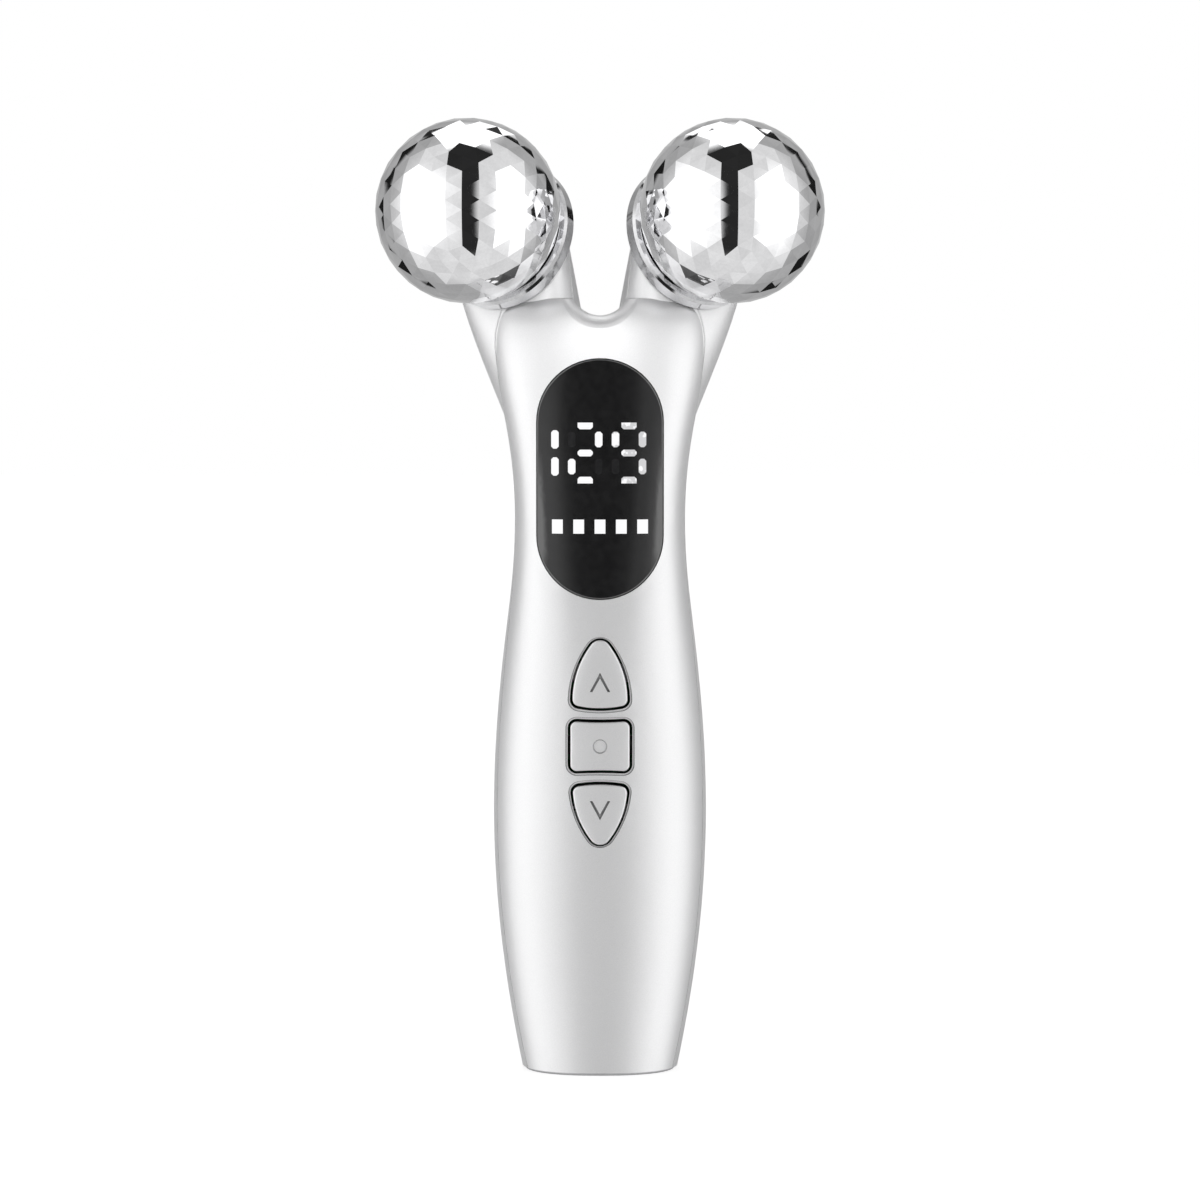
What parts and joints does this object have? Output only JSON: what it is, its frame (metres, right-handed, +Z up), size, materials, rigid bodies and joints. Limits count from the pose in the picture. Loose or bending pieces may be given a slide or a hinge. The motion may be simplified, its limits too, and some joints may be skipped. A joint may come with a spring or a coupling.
{
  "type": "facial roller",
  "caption": "Hand-held Y-shaped facial roller: faceted metal balls spin on angled arms above a silver grip with a lit display, push buttons and a charging port in its base.",
  "frame": {"origin": "centre of the flat base of the handle", "axes": "+Z up along the handle, -Y towards the display and buttons, +X to the right seen from the front"},
  "size_m": [0.0766, 0.0401, 0.1652],
  "materials": {
    "silver_shell": "satin silver paint",
    "base_plastic": "satin silver paint",
    "silver_button": "satin silver paint",
    "display_glass": "gloss black",
    "lit_guide": "lit white",
    "unlit_guide": "smoked",
    "seal": "soft black",
    "module_white": "moulded white",
    "switch_black": "moulded black",
    "plunger_white": "moulded white",
    "board_green": "solder mask",
    "battery_can": "foil",
    "port_steel": "drawn steel",
    "tongue_black": "moulded black",
    "screw_steel": "zinc plated",
    "polished_ball": "mirror polish",
    "polished_collar": "mirror polish",
    "hub_plastic": "moulded black",
    "bush_brass": "turned",
    "axle_steel": "ground",
    "carrier_plastic": "moulded black",
    "lug_brass": "tinned",
    "lead_rubber": "red sleeve"
  },
  "bodies": {
    "handle": {"front_shell": "silver_shell", "rear_shell": "silver_shell", "base_cap": "base_plastic", "base_screws": "screw_steel", "display_lens": "display_glass", "lit_segments": "lit_guide", "unlit_segments": "unlit_guide", "level_bars": "lit_guide", "lens_gasket": "seal", "display_module": "module_white", "up_switch": "switch_black", "select_switch": "switch_black", "down_switch": "switch_black", "main_board": "board_green", "board_screws": "screw_steel", "controller_chip": "switch_black", "charging_chip": "switch_black", "battery_foam": "seal", "battery": "battery_can", "charging_port": "port_steel", "port_tongue": "tongue_black", "left_axle": "axle_steel", "left_thrust_washer": "axle_steel", "left_collar": "polished_collar", "left_axle_carrier": "carrier_plastic", "left_axle_clip": "axle_steel", "left_contact_lug": "lug_brass", "left_axle_nut": "axle_steel", "left_lead": "lead_rubber", "right_axle": "axle_steel", "right_thrust_washer": "axle_steel", "right_collar": "polished_collar", "right_axle_carrier": "carrier_plastic", "right_axle_clip": "axle_steel", "right_contact_lug": "lug_brass", "right_axle_nut": "axle_steel", "right_lead": "lead_rubber"},
    "left_roller": {"left_ball_shell": "polished_ball", "left_ball_hub": "hub_plastic", "left_rear_bush": "bush_brass", "left_front_bush": "bush_brass"},
    "right_roller": {"right_ball_shell": "polished_ball", "right_ball_hub": "hub_plastic", "right_rear_bush": "bush_brass", "right_front_bush": "bush_brass"},
    "up_key": {"up_button": "silver_button", "up_plunger": "plunger_white"},
    "select_key": {"select_button": "silver_button", "select_plunger": "plunger_white"},
    "down_key": {"down_button": "silver_button", "down_plunger": "plunger_white"}
  },
  "joints": [
    {"name": "left_spin", "type": "hinge", "parent": "handle", "child": "left_roller", "pos_m": [-0.0225, -0.0118, 0.1495], "axis": [-0.4636, -0.829, 0.3127], "continuous": true},
    {"name": "right_spin", "type": "hinge", "parent": "handle", "child": "right_roller", "pos_m": [0.0225, -0.0118, 0.1495], "axis": [0.4636, -0.829, 0.3127], "continuous": true},
    {"name": "up_press", "type": "slide", "parent": "handle", "child": "up_key", "axis": [0, 1, 0], "range_m": [0, 0.0005], "stiffness_N_per_m": 600, "springref_m": -0.0004},
    {"name": "select_press", "type": "slide", "parent": "handle", "child": "select_key", "axis": [0, 1, 0], "range_m": [0, 0.0005], "stiffness_N_per_m": 600, "springref_m": -0.0004},
    {"name": "down_press", "type": "slide", "parent": "handle", "child": "down_key", "axis": [0, 1, 0], "range_m": [0, 0.0005], "stiffness_N_per_m": 600, "springref_m": -0.0004}
  ]
}
